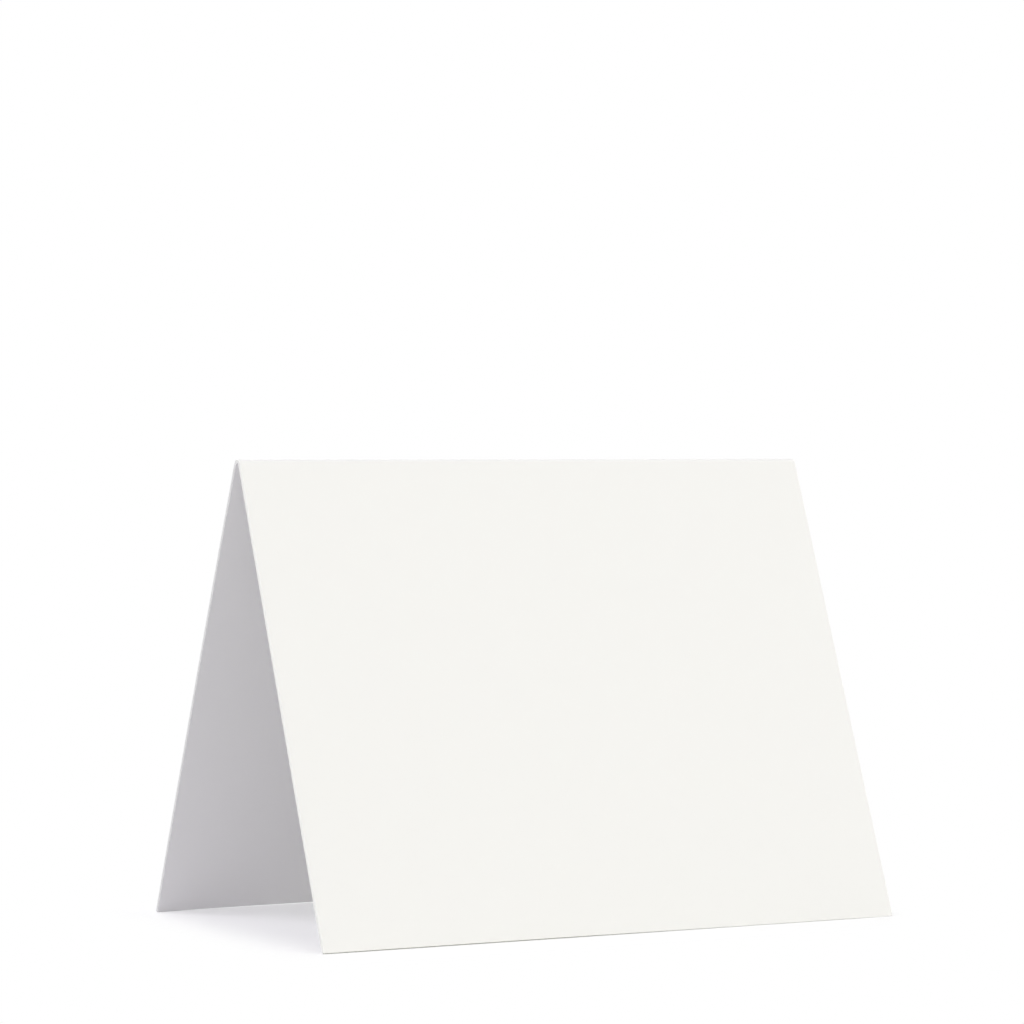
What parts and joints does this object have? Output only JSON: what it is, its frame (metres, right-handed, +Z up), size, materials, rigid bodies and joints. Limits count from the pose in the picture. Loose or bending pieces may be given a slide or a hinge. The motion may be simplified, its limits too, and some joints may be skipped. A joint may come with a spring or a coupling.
{
  "type": "greeting card",
  "caption": "Blank folded note card of thick stock, standing open as a tent on its foot edges, with a rounded fold along the top.",
  "frame": {"origin": "on the table, under the middle of the standing card", "axes": "+X along the fold, +Y from the front leaf towards the back leaf, +Z up"},
  "size_m": [0.1396, 0.0824, 0.1001],
  "materials": {
    "card_stock": "matte"
  },
  "bodies": {
    "root": {"folded_card": "card_stock"}
  },
  "joints": []
}
